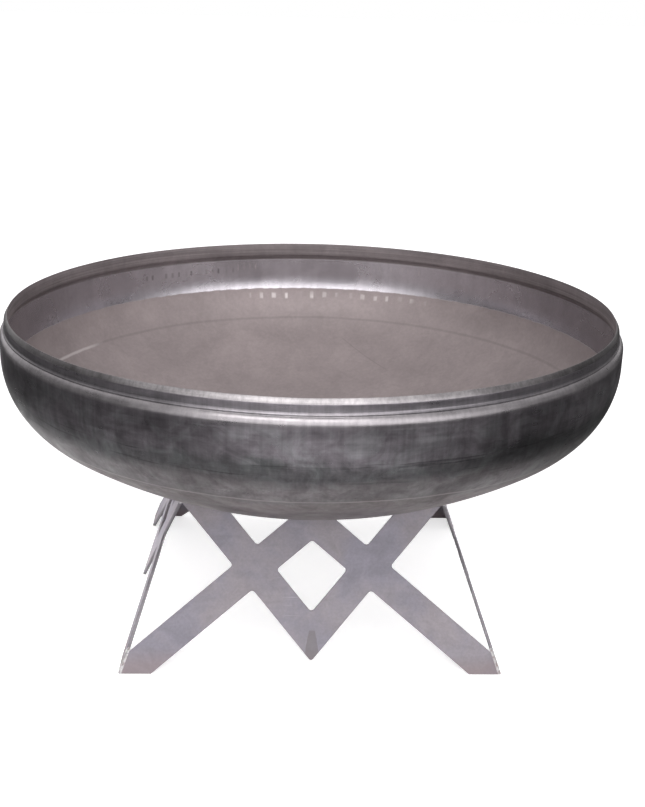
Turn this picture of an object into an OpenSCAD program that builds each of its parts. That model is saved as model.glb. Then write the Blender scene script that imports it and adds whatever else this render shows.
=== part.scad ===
// Steel fire bowl on a four-sided lattice base.
// A spun and dished steel bowl with a joggled rim rests in the cut tops of
// four identical lattice plates. The plates lean inward, stand on their
// corners and are welded to each other at the foot and top of every corner.
// Millimetres, +Z up, origin on the floor under the middle of the bowl.

/* [Bowl] */
// Outside diameter of the bowl body
bowl_diameter = 914.4; // [760:0.1:1100]
// Thickness of the bowl's steel
bowl_thickness = 4.76; // [3:0.01:8]
// Outside radius of the shallow crown
crown_radius = 712; // [580:1:900]
// Outside radius of the knuckle between crown and wall
knuckle_radius = 126.5; // [80:0.5:160]
// Height of the straight wall between knuckle and shoulder
wall_height = 25; // [15:1:60]
// Outside radius of the shoulder above the wall
shoulder_radius = 13.8; // [9:0.1:20]
// Height of the set-in rim above the crease where it meets the shoulder
rim_height = 21.1; // [14:0.1:32]
// How far the rim is set in from the body
rim_inset = 7.5; // [5:0.1:10]
// How far the foot of the rim flares out to the crease
rim_flare = 2.2; // [0.5:0.1:3]
// Height of that flare
flare_height = 5.3; // [3:0.1:8]
// Height of the bevel ground on the rim's edge
bevel_height = 6.6; // [3:0.1:8]
// How far the bevel reaches in across the rim's edge
bevel_width = 4.2; // [1:0.1:4.6]
// Height of the bowl's lowest point above the floor
bowl_clearance = 185; // [150:1:230]

/* [Base] */
// Outside width of the square base at the floor
base_width = 542; // [450:1:640]
// How far each plate leans inward from upright
lean = 20; // [14:0.5:25]
// Thickness of the base plates
plate_thickness = 4.76; // [3:0.01:8]
// Width of every lattice strip
strip_width = 44; // [34:0.5:52]
// Length of each foot along the floor
foot_length = 41.5; // [30:0.5:60]
// Height of steel left above the diamond, along the plate
apex_bridge = 36; // [24:0.5:50]
// Distance of the sharp lower tip from the floor, along the plate
tip_clearance = 17.8; // [10:0.1:40]
// Radius in the inside corners of the cut-outs
corner_radius = 5; // [2:0.5:8]
// Radius on the lower tip
tip_radius = 4; // [2:0.5:8]
// Length of plate edge that meets at each top corner
corner_joint = 8; // [5:0.5:16]
// Gap between the bowl and the plates
seat_gap = 0.3; // [0.2:0.05:1]

/* [Welds] */
// How far a weld bead stands out from the groove it fills
bead_crown = 1.9; // [0.5:0.1:2.6]
// How far a foot bead runs on past the plates it joins
bead_runout = 4; // [1:0.5:8]

/* [Hidden] */
bowl_r = bowl_diameter / 2;
crown_z = bowl_clearance + crown_radius;
// angle from straight down at which the crown runs into the knuckle
crown_angle = asin((bowl_r - knuckle_radius) / (crown_radius - knuckle_radius));
knuckle_z = crown_z - (crown_radius - knuckle_radius) * cos(crown_angle);
shoulder_z = knuckle_z + wall_height;
shoulder_c = bowl_r - shoulder_radius;
rim_r = bowl_r - rim_inset;
crease_r = rim_r + rim_flare;
crease_angle = acos((crease_r - shoulder_c) / shoulder_radius);
crease_z = shoulder_z + shoulder_radius * sin(crease_angle);
rim_z = crease_z + rim_height;

half_base = base_width / 2;
// the plate's side edge is u = edge_u - s * sin(lean), with u measured
// across the plate and s up its slope
edge_u = half_base - plate_thickness * cos(lean);
seat_s = half_base * sin(lean) + crown_z * cos(lean);
seat_depth = half_base * cos(lean) - crown_z * sin(lean);
nearest_depth = seat_depth < 0 ? -seat_depth : max(0, seat_depth - plate_thickness);
seat_r = sqrt(pow(crown_radius + seat_gap, 2) - pow(nearest_depth, 2));
seat_mid_s = seat_s - seat_r;
quad_a = 1 + pow(sin(lean), 2);
quad_b = seat_s + edge_u * sin(lean);
quad_c = pow(seat_s, 2) + pow(edge_u, 2) - pow(seat_r, 2);
corner_s = (quad_b - sqrt(pow(quad_b, 2) - quad_a * quad_c)) / quad_a;
corner_u = edge_u - corner_s * sin(lean);

// lower lines of the two kinds of strip
apex_s = seat_mid_s - apex_bridge;
strut_slope = apex_s / (edge_u - foot_length);
strut_angle = atan(strut_slope);
joint_s = corner_s - corner_joint;
vee_slope = (joint_s - tip_clearance) / (edge_u - joint_s * sin(lean));
vee_angle = atan(vee_slope);
strut_rise = strip_width / cos(strut_angle);
vee_rise = strip_width / cos(vee_angle);
vee_top_s = tip_clearance + vee_rise;
foot_join_s = (apex_s + strut_rise - strut_slope * edge_u) / (1 - strut_slope * sin(lean));

arc_steps = 12;
reach = base_width;
floor_cut = 20;
bead_steps = 8;
steel = [0.60, 0.58, 0.61];
bowl_steel = [0.45, 0.43, 0.43];
bead_steel = [0.74, 0.73, 0.74];

// ---- base plates ----

function toward(angle) = [cos(angle), sin(angle)];

// Crossing of a strut edge and a vee edge, given where each meets u = 0
function crossing(strut_at_0, vee_at_0) =
    let (u = (strut_at_0 - vee_at_0) / (strut_slope + vee_slope))
    [u, vee_at_0 + vee_slope * u];

// A point on a strut edge, or on a vee edge, that meets u = 0 at the given s
function on_strut(u, at_0) = [u, at_0 - strut_slope * abs(u)];
function on_vee(u, at_0) = [u, at_0 + vee_slope * abs(u)];
function mirrored(p) = [-p[0], p[1]];

function backwards(list) = [for (i = [len(list) - 1 : -1 : 0]) list[i]];

// The same points on the -u side, in the opposite order
function reflected(list) = [for (p = backwards(list)) mirrored(p)];

// Points of the arc of radius r that rounds the corner p, from the edge that
// leaves it at angle a1 to the edge that leaves it at angle a2
function rounded(p, a1, a2, r) =
    let (centre = p + r / sin((a2 - a1) / 2) * toward((a1 + a2) / 2), turn = 180 - (a2 - a1))
    [for (i = [0 : arc_steps]) centre + r * toward(a1 - 90 - turn * i / arc_steps)];

// The closed opening between the struts and the vee
module diamond_hole() {
    side = rounded(crossing(apex_s, vee_top_s), 180 - strut_angle, 180 + vee_angle, corner_radius);
    polygon(concat(
        rounded([0, vee_top_s], vee_angle, 180 - vee_angle, corner_radius),
        reflected(side),
        rounded([0, apex_s], 180 + strut_angle, 360 - strut_angle, corner_radius),
        side
    ));
}

// The opening on the +u side, which runs out through the side edge
module side_hole() {
    p = crossing(apex_s + strut_rise, tip_clearance);
    polygon(concat(
        rounded(p, -strut_angle, vee_angle, corner_radius),
        [on_vee(reach, tip_clearance), on_strut(reach, apex_s + strut_rise)]
    ));
}

// The openings either side of the vee tip, which run out through the bottom
module low_hole() {
    side = rounded(crossing(apex_s, tip_clearance), 180 + vee_angle, 360 - strut_angle, corner_radius);
    foot = on_strut(reach, apex_s);
    tip = rounded([0, tip_clearance], vee_angle, 180 - vee_angle, tip_radius);
    polygon(concat(side, [foot, mirrored(foot)], reflected(side), backwards(tip)));
}

// The openings either side of the apex, which run out through the seat
module top_hole() {
    side = rounded(crossing(apex_s + strut_rise, vee_top_s), vee_angle, 180 - strut_angle, corner_radius);
    top = on_vee(reach, vee_top_s);
    polygon(concat(side, [[0, apex_s + strut_rise]], reflected(side), [mirrored(top), top]));
}

module plate_outline() {
    difference() {
        polygon([[-edge_u, 0], [edge_u, 0], [corner_u, corner_s], [-corner_u, corner_s]]);
        diamond_hole();
        side_hole();
        mirror([1, 0]) side_hole();
        low_hole();
        top_hole();
        translate([0, seat_s]) circle(seat_r, $fn = 720);
    }
}

// A base plate at the given number of quarter turns from the front
module base_plate(quarter) {
    color(steel)
    rotate([0, 0, 90 * quarter])
    difference() {
        translate([0, -half_base, 0])
        rotate([90 - lean, 0, 0])
        translate([0, 0, -plate_thickness])
        linear_extrude(plate_thickness) plate_outline();
        translate([-base_width, -base_width, -floor_cut]) cube([2 * base_width, 2 * base_width, floor_cut]);
    }
}

// ---- weld beads ----

groove_side = plate_thickness * cos(lean);
groove_root = plate_thickness / cos(lean);
bead_chord = groove_side * sqrt(2);
bead_arc_r = (pow(bead_chord / 2, 2) + pow(bead_crown, 2)) / (2 * bead_crown);
bead_arc_half = asin(bead_chord / 2 / bead_arc_r);
bead_arc_c = groove_side / 2 + (bead_arc_r - bead_crown) / sqrt(2);

// Horizontal section of a bead, measured inward from the outer corner
bead_section = concat(
    [[groove_root, groove_root]],
    [for (i = [0 : bead_steps])
        let (a = 225 + bead_arc_half * (1 - 2 * i / bead_steps))
        [bead_arc_c + bead_arc_r * cos(a), bead_arc_c + bead_arc_r * sin(a)]]
);
bead_middle = [groove_root / 2, groove_root / 2];

function bead_ring(z, size) = [
    for (p = bead_section)
        let (q = bead_middle + size * (p - bead_middle))
        [q[0] - half_base + z * tan(lean), q[1] - half_base + z * tan(lean), z]
];

// A bead through rings given as [height, size], at the front left corner
module bead(rings) {
    n = len(bead_section);
    last = len(rings) - 1;
    points = [for (r = rings) each bead_ring(r[0], r[1])];
    sides = [for (k = [0 : last - 1], i = [0 : n - 1]) [
        k * n + i, (k + 1) * n + i, (k + 1) * n + (i + 1) % n, k * n + (i + 1) % n
    ]];
    bottom = [[for (i = [0 : n - 1]) i]];
    top = [[for (i = [0 : n - 1]) last * n + n - 1 - i]];
    color(bead_steel) polyhedron(points, concat(sides, bottom, top), convexity = 2);
}

module foot_weld(corner) {
    join_z = foot_join_s * cos(lean);
    rotate([0, 0, 90 * corner])
    bead([
        [0, 1],
        [join_z, 1],
        [join_z + bead_runout * 0.6, 0.85],
        [join_z + bead_runout, 0.5]
    ]);
}

module top_weld(corner) {
    low_z = joint_s * cos(lean);
    high_z = corner_s * cos(lean) - 1.5;
    rotate([0, 0, 90 * corner])
    bead([
        [low_z - bead_runout / 2, 0.6],
        [low_z, 0.95],
        [high_z - 0.8, 0.95],
        [high_z, 0.8]
    ]);
}

// ---- bowl ----

// Half section of the room inside a surface set in by depth from the bowl's
// outer surface, from its lowest point to the top of the knuckle
module dish_fill(depth) {
    intersection() {
        translate([0, crown_z]) circle(crown_radius - depth, $fn = 480);
        polygon([
            [0, 0],
            [0, crown_z],
            [bowl_r - knuckle_radius, knuckle_z],
            crown_radius * toward(crown_angle - 90) + [0, crown_z],
            1.1 * crown_radius * toward(crown_angle - 90) + [0, crown_z]
        ]);
        square([bowl_r, knuckle_z]);
    }
    intersection() {
        translate([bowl_r - knuckle_radius, knuckle_z]) circle(knuckle_radius - depth, $fn = 144);
        square([bowl_r, knuckle_z]);
    }
}

// Points of the shoulder set in by depth, from the wall up to the given angle
function shoulder(depth, angle) = [
    for (i = [0 : arc_steps])
        [shoulder_c, shoulder_z] + (shoulder_radius - depth) * toward(angle * i / arc_steps)
];

module outer_fill() {
    dish_fill(0);
    polygon(concat(
        [
            [0, knuckle_z - 1],
            [bowl_r - knuckle_radius, knuckle_z - 1],
            [bowl_r - knuckle_radius, knuckle_z],
            [bowl_r, knuckle_z]
        ],
        shoulder(0, crease_angle),
        [
            [rim_r + 0.5 * rim_flare, crease_z + 0.2 * flare_height],
            [rim_r + 0.15 * rim_flare, crease_z + 0.55 * flare_height],
            [rim_r, crease_z + flare_height],
            [rim_r, rim_z - bevel_height],
            [rim_r - bevel_width, rim_z],
            [0, rim_z]
        ]
    ));
}

module inner_fill() {
    wall_in_r = bowl_r - bowl_thickness;
    rim_in_r = rim_r - bowl_thickness;
    polygon(concat(
        [
            [0, knuckle_z - 1],
            [bowl_r - knuckle_radius, knuckle_z - 1],
            [bowl_r - knuckle_radius, knuckle_z],
            [wall_in_r, knuckle_z]
        ],
        shoulder(bowl_thickness, crease_angle),
        [
            [rim_in_r + 0.5 * rim_flare, crease_z - 1.2],
            [rim_in_r, crease_z + 0.8],
            [rim_in_r, rim_z + 1],
            [0, rim_z + 1]
        ]
    ));
    dish_fill(bowl_thickness);
}

// Right half of the bowl's section
module bowl_section() {
    difference() {
        outer_fill();
        inner_fill();
    }
}

module bowl() {
    color(bowl_steel)
    rotate_extrude($fn = 144) bowl_section();
}

base_plate(0);  // base_plate_front
base_plate(1);  // base_plate_right
base_plate(2);  // base_plate_back
base_plate(3);  // base_plate_left
foot_weld(0);  // foot_weld_front_left
foot_weld(1);  // foot_weld_front_right
foot_weld(2);  // foot_weld_back_right
foot_weld(3);  // foot_weld_back_left
top_weld(0);  // top_weld_front_left
top_weld(1);  // top_weld_front_right
top_weld(2);  // top_weld_back_right
top_weld(3);  // top_weld_back_left
bowl();
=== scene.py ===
"""Visual model of an open steel fire bowl that rests on a welded lattice base.

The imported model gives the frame. Every piece below is built in metres in that
frame, from the same sizes as the solid model, and stands for its CAD node.
"""

import logging
import math
from dataclasses import dataclass, field
from enum import Enum
from functools import reduce

import bmesh
import bpy
from mathutils import Matrix, Vector


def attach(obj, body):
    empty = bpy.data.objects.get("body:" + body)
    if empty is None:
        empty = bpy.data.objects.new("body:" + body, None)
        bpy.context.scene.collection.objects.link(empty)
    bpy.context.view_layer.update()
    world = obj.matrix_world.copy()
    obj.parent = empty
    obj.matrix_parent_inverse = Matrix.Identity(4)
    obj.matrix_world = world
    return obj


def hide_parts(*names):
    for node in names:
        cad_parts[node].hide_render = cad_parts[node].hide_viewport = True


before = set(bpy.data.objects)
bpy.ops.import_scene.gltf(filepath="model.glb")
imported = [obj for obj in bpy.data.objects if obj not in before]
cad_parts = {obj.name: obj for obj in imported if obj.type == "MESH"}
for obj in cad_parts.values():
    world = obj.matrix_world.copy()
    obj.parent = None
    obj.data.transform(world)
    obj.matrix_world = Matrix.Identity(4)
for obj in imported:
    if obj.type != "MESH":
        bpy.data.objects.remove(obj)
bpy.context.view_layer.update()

log = logging.getLogger("fire_bowl")

MM = 0.001
LEAN = math.radians(20.0)
PLATE_THICKNESS = 4.76
HALF_BASE = 271.0
CROWN_RADIUS = 712.0
BOWL_CLEARANCE = 185.0
ARC_STEPS = 12

Point = tuple[float, float]
Place = tuple[float, float, float]
Colour = tuple[float, float, float]
Socket = bpy.types.NodeSocket
Value = Socket | float


class Side(Enum):
    """The four sides of the base, by quarter turns from the front."""

    FRONT = 0
    RIGHT = 1
    BACK = 2
    LEFT = 3


class Corner(Enum):
    """The four corners of the base, by quarter turns from the front left."""

    FRONT_LEFT = 0
    FRONT_RIGHT = 1
    BACK_RIGHT = 2
    BACK_LEFT = 3


class BeadPlace(Enum):
    """Where on a corner a weld bead lies."""

    FOOT = "foot_weld"
    TOP = "top_weld"


class Zone(Enum):
    """Parts of the bowl's surface that carry different finishes."""

    OUTSIDE = 0
    BEVEL = 1
    INSIDE = 2


def toward(degrees: float) -> Point:
    """Unit step in a plane at an angle from its first axis."""
    return math.cos(math.radians(degrees)), math.sin(math.radians(degrees))


def smoothstep(low: float, high: float, value: float) -> float:
    """Smooth rise from 0 at low to 1 at high."""
    t = min(1.0, max(0.0, (value - low) / (high - low)))
    return t * t * (3.0 - 2.0 * t)


def rounded(p: Point, a1: float, a2: float, radius: float) -> list[Point]:
    """Arc that rounds a corner between two edges.

    Args:
        p: the sharp corner.
        a1: angle, in degrees, at which the first edge leaves the corner.
        a2: angle at which the second edge leaves it.
        radius: radius of the arc.

    Returns:
        Points from the first edge to the second.
    """
    half = math.radians((a2 - a1) / 2)
    mid = toward((a1 + a2) / 2)
    reach = radius / math.sin(half)
    centre = (p[0] + reach * mid[0], p[1] + reach * mid[1])
    turn = 180.0 - (a2 - a1)
    points = []
    for i in range(ARC_STEPS + 1):
        step = toward(a1 - 90.0 - turn * i / ARC_STEPS)
        points.append((centre[0] + radius * step[0], centre[1] + radius * step[1]))
    return points


def add(name: str, data: bpy.types.ID) -> bpy.types.Object:
    """Adds an object to the scene.

    Args:
        name: the object's name.
        data: its mesh, light or camera.

    Returns:
        The object.
    """
    obj = bpy.data.objects.new(name, data)
    bpy.context.scene.collection.objects.link(obj)
    return obj


def smooth_mesh(mesh: bpy.types.Mesh, sharp_angle: float) -> None:
    """Shades a mesh smooth, except across its sharper edges.

    Args:
        mesh: the mesh.
        sharp_angle: angle from which an edge stays sharp, in degrees.
    """
    mesh.polygons.foreach_set("use_smooth", [True] * len(mesh.polygons))
    mesh.set_sharp_from_angle(angle=math.radians(sharp_angle))


class Tree:
    """Patterns and arithmetic in one node tree."""

    def __init__(self, tree: bpy.types.NodeTree) -> None:
        """Starts with the tree emptied."""
        self.tree = tree
        self.tree.nodes.clear()

    def node(self, kind: str) -> bpy.types.Node:
        """Adds a node of a kind."""
        return self.tree.nodes.new(kind)

    def join(self, source: Socket, target: Socket) -> None:
        """Links one socket to another."""
        self.tree.links.new(source, target)

    def feed(self, socket: Socket, value: Value | Colour) -> None:
        """Puts a socket's output or a constant into an input.

        Args:
            socket: the input.
            value: an output socket, a number or a colour.
        """
        if isinstance(value, Socket):
            self.join(value, socket)
        elif socket.type == "RGBA" and len(value) == 3:
            socket.default_value = (*value, 1.0)
        else:
            socket.default_value = value

    def math(self, operation: str, a: Value, b: Value = 0.0, clamp: bool = False) -> Socket:
        """Arithmetic on two values.

        Args:
            operation: name of the operation.
            a: first value.
            b: second value.
            clamp: whether the result stays between 0 and 1.

        Returns:
            The result's output socket.
        """
        n = self.node("ShaderNodeMath")
        n.operation = operation
        n.use_clamp = clamp
        self.feed(n.inputs[0], a)
        self.feed(n.inputs[1], b)
        return n.outputs[0]

    def times(self, *values: Value) -> Socket:
        """Product of two or more values."""
        return reduce(lambda a, b: self.math("MULTIPLY", a, b), values)

    def plus(self, *values: Value) -> Socket:
        """Sum of two or more values."""
        return reduce(lambda a, b: self.math("ADD", a, b), values)

    def minus(self, a: Value, b: Value) -> Socket:
        """First value less the second."""
        return self.math("SUBTRACT", a, b)

    def axes(self, source: Socket) -> tuple[Socket, Socket, Socket]:
        """Splits coordinates into their X, Y and Z.

        Args:
            source: the coordinates.

        Returns:
            The three output sockets.
        """
        n = self.node("ShaderNodeSeparateXYZ")
        self.join(source, n.inputs[0])
        return n.outputs["X"], n.outputs["Y"], n.outputs["Z"]

    def span(
        self,
        value: Value,
        low: float,
        high: float,
        to_low: float = 0.0,
        to_high: float = 1.0,
        smooth: bool = True,
    ) -> Socket:
        """Remap of a value from one range to another, held at both ends.

        Args:
            value: the value.
            low: value that gives to_low.
            high: value that gives to_high.
            to_low: result at and below low.
            to_high: result at and above high.
            smooth: whether the ends are eased.

        Returns:
            The result's output socket.
        """
        n = self.node("ShaderNodeMapRange")
        n.interpolation_type = "SMOOTHSTEP" if smooth else "LINEAR"
        names = ("Value", "From Min", "From Max", "To Min", "To Max")
        for name, number in zip(names, (value, low, high, to_low, to_high)):
            self.feed(n.inputs[name], number)
        return n.outputs[0]

    def swing(self, noise: Socket, to_low: float, to_high: float, reach: float = 0.2) -> Socket:
        """Spreads the noise values within reach of one half over a new range."""
        return self.span(noise, 0.5 - reach, 0.5 + reach, to_low, to_high)

    def mottle(self, *layers: tuple[Value, ...]) -> Socket:
        """Product of noises, each swung over its own range."""
        return self.times(*(self.swing(*layer) for layer in layers))

    def window(self, value: Value, low: float, high: float, soft: float) -> Socket:
        """Mask that is 1 between two values and fades out over a soft margin.

        Args:
            value: the value.
            low: lower end.
            high: upper end.
            soft: width of each fade.

        Returns:
            The mask's output socket.
        """
        rise = self.span(value, low - soft, low)
        return self.times(rise, self.span(value, high, high + soft, 1.0, 0.0))


class Graph(Tree):
    """Builder of one material's node tree around a Principled shader."""

    def __init__(self, name: str) -> None:
        """Makes an empty material with its shader and output.

        Args:
            name: the material's name.
        """
        self.material = bpy.data.materials.new(name)
        self.material.use_nodes = True
        super().__init__(self.material.node_tree)
        self.shader = self.node("ShaderNodeBsdfPrincipled")
        out = self.node("ShaderNodeOutputMaterial")
        self.join(self.shader.outputs["BSDF"], out.inputs["Surface"])
        self.place = self.node("ShaderNodeTexCoord").outputs["Object"]

    def noise(self, vector: Socket, detail: float = 3.0, rough: float = 0.5, warp: float = 0.0) -> Socket:
        """Fractal noise between 0 and 1.

        Args:
            vector: coordinates, one cell to a unit.
            detail: number of octaves.
            rough: strength of the finer octaves.
            warp: distortion.

        Returns:
            The noise value's output socket.
        """
        n = self.node("ShaderNodeTexNoise")
        self.join(vector, n.inputs["Vector"])
        for name, number in zip(("Scale", "Detail", "Roughness", "Distortion"), (1.0, detail, rough, warp)):
            n.inputs[name].default_value = number
        return n.outputs["Fac"]

    def pattern(self, cells: Place | float, shift: float = 0.0, turn: float = 0.0, **noise: float) -> Socket:
        """Noise over the object.

        Args:
            cells: cells to a metre, on each axis or on all three.
            shift: offset that sets one pattern apart from another.
            turn: rotation about Z, in radians.
            noise: detail, rough and warp of the noise.

        Returns:
            The noise value's output socket.
        """
        n = self.node("ShaderNodeMapping")
        n.inputs["Location"].default_value = (shift, shift * 1.7, shift * 0.6)
        n.inputs["Rotation"].default_value = (0.0, 0.0, turn)
        n.inputs["Scale"].default_value = cells if isinstance(cells, tuple) else (cells,) * 3
        self.join(self.place, n.inputs["Vector"])
        return self.noise(n.outputs[0], **noise)

    def ramp(self, value: Socket, stops: list[tuple[float, Colour]]) -> Socket:
        """Colour ramp.

        Args:
            value: position along the ramp.
            stops: pairs of a position and a colour.

        Returns:
            The colour's output socket.
        """
        n = self.node("ShaderNodeValToRGB")
        elements = n.color_ramp.elements
        while len(elements) > 1:
            elements.remove(elements[-1])
        elements[0].position = stops[0][0]
        elements[0].color = (*stops[0][1], 1.0)
        for position, colour in stops[1:]:
            elements.new(position).color = (*colour, 1.0)
        self.join(value, n.inputs["Fac"])
        return n.outputs["Color"]

    def blend(self, share: Value, a: Socket | Colour, b: Socket | Colour, how: str = "MIX") -> Socket:
        """Mix of two colours.

        Args:
            share: share of the second colour.
            a: first colour.
            b: second colour.
            how: blend type.

        Returns:
            The colour's output socket.
        """
        n = self.node("ShaderNodeMix")
        n.data_type = "RGBA"
        n.blend_type = how
        colour_a, colour_b, result = 6, 7, 2
        self.feed(n.inputs[0], share)
        self.feed(n.inputs[colour_a], a)
        self.feed(n.inputs[colour_b], b)
        return n.outputs[result]

    def shade(self, colour: Socket | Colour, factor: Socket) -> Socket:
        """A colour brightened or darkened by a factor near 1.

        Args:
            colour: the colour.
            factor: the factor.

        Returns:
            The colour's output socket.
        """
        n = self.node("ShaderNodeVectorMath")
        n.operation = "SCALE"
        self.feed(n.inputs[0], colour)
        self.feed(n.inputs["Scale"], factor)
        return n.outputs[0]

    def relief(self, height: Socket, depth: float, strength: float = 0.5) -> None:
        """Fine surface relief.

        Args:
            height: height between 0 and 1.
            depth: what a height of 1 stands for, in metres.
            strength: share of the relief that shows.
        """
        n = self.node("ShaderNodeBump")
        n.inputs["Strength"].default_value = strength
        n.inputs["Distance"].default_value = depth
        self.join(height, n.inputs["Height"])
        self.join(n.outputs[0], self.shader.inputs["Normal"])

    def finish(self, colour: Socket, rough: Value, metal: Value) -> bpy.types.Material:
        """Sets the shader's colour, roughness and metalness.

        Args:
            colour: base colour.
            rough: roughness.
            metal: metalness.

        Returns:
            The finished material.
        """
        for name, value in (("Base Color", colour), ("Roughness", rough), ("Metallic", metal)):
            self.feed(self.shader.inputs[name], value)
        return self.material


@dataclass(frozen=True)
class OutsideSteel:
    """Burnished, smudged steel of the bowl's outside, with painted shade in a dark band round the knuckle
    and a painted highlight in a light band at the shoulder.
    """

    name: str = "bowl_outside_steel"
    crown: Colour = (0.240, 0.210, 0.215)
    skirt: Colour = (0.205, 0.188, 0.196)
    # dark: painted shade, the colour of the dark band round the knuckle
    dark: Colour = (0.118, 0.114, 0.121)
    wall: Colour = (0.205, 0.188, 0.207)
    # shoulder: painted highlight, the colour of the light band at the shoulder
    shoulder: Colour = (0.345, 0.326, 0.342)
    flare: Colour = (0.235, 0.222, 0.240)
    rim: Colour = (0.262, 0.243, 0.267)
    bloom: Colour = (0.93, 1.0, 0.96)
    bright_line: Colour = (0.42, 0.39, 0.39)
    line_height: float = 0.3315
    metal: float = 0.85

    def build(self) -> bpy.types.Material:
        """Makes the material.

        Returns:
            The material.
        """
        g = Graph(self.name)
        height = g.axes(g.place)[2]
        cloud = g.pattern((9, 9, 14), 2.0, detail=5, rough=0.6, warp=0.8)
        patch = g.pattern((26, 26, 34), 7.0, detail=6, rough=0.62, warp=0.9)
        streak = g.pattern((60, 60, 5), 5.0, detail=4, rough=0.6)
        fine = g.pattern((210, 210, 9), 3.0, detail=3, rough=0.6)
        sweep = g.pattern((5, 5, 150), 9.0, detail=4, rough=0.65, warp=0.5)
        mottle = g.pattern(75, 1.0, detail=4, rough=0.7)
        drift = g.plus(g.swing(cloud, -0.008, 0.008), g.swing(streak, -0.003, 0.003, 0.25))
        drift = g.times(drift, g.span(height, 0.425, 0.437, 1.0, 0.12))
        base = self.zones(g, g.plus(height, drift))
        clean = g.span(height, 0.432, 0.442)
        smudged = g.minus(1.0, clean)
        tone = g.mottle((cloud, 0.64, 1.36, 0.25), (patch, 0.72, 1.26, 0.22), (streak, 0.90, 1.10, 0.25))
        tone = g.plus(g.times(tone, smudged), g.times(g.swing(patch, 0.88, 1.08, 0.22), clean))
        tone = g.times(tone, g.mottle((fine, 0.90, 1.10, 0.25), (sweep, 0.91, 1.09, 0.25)))
        smear = g.times(g.window(height, 0.362, 0.392, 0.012), g.span(sweep, 0.56, 0.68, 0.0, 0.45))
        tone = g.times(tone, g.swing(mottle, 0.94, 1.06), g.minus(1.0, smear))
        bloom = g.times(g.span(patch, 0.42, 0.62, 0.0, 0.8), smudged)
        colour = g.blend(bloom, g.shade(base, tone), self.bloom, "MULTIPLY")
        colour = g.blend(self.line(g, height, cloud), colour, self.bright_line)
        smudge = g.pattern((16, 16, 22), 4.0, detail=5, rough=0.65, warp=1.2)
        rough = g.plus(g.span(smudge, 0.3, 0.75, 0.27, 0.42), g.swing(sweep, -0.03, 0.03))
        rough = g.plus(rough, g.span(height, 0.325, 0.345, 0.10, 0.0))
        shares = ((streak, 0.5), (sweep, 0.6), (cloud, 2.0), (fine, 0.15))
        g.relief(g.plus(*(g.times(noise, share) for noise, share in shares)), 0.00020, 0.6)
        return g.finish(colour, rough, self.metal)

    def zones(self, g: Graph, level: Socket) -> Socket:
        """Colour of each band of the outside, from the crown up to the rim. The dark band round the knuckle
        is painted shade, and the light band at the shoulder is a painted highlight.

        Args:
            g: the material's graph.
            level: height above the floor, a little disturbed.

        Returns:
            The colour's output socket.
        """
        bands = [
            (0.200, self.crown),
            (0.327, self.crown),
            (0.333, self.skirt),
            (0.356, self.skirt),
            # painted shade: the dark band round the knuckle
            (0.370, self.dark),
            (0.384, self.dark),
            (0.402, self.wall),
            (0.4375, self.wall),
            # painted highlight: the light band at the shoulder
            (0.4415, self.shoulder),
            (0.4500, self.shoulder),
            (0.4512, self.flare),
            (0.4560, self.flare),
            (0.4605, self.rim),
        ]
        low, high = 0.18, 0.48
        stops = [((z - low) / (high - low), colour) for z, colour in bands]
        return g.ramp(g.span(level, low, high, smooth=False), stops)

    def line(self, g: Graph, height: Socket, cloud: Socket) -> Socket:
        """Mask of the thin bright line that the press left above the crown.

        Args:
            g: the material's graph.
            height: height above the floor.
            cloud: slow noise that bends the line.

        Returns:
            The mask's output socket.
        """
        wobble = g.plus(height, g.swing(cloud, -0.0008, 0.0008))
        fade = g.span(g.pattern(7, 12.0), 0.35, 0.6, 0.05, 0.7)
        return g.times(g.window(wobble, self.line_height, self.line_height + 0.0008, 0.0012), fade)


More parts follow.
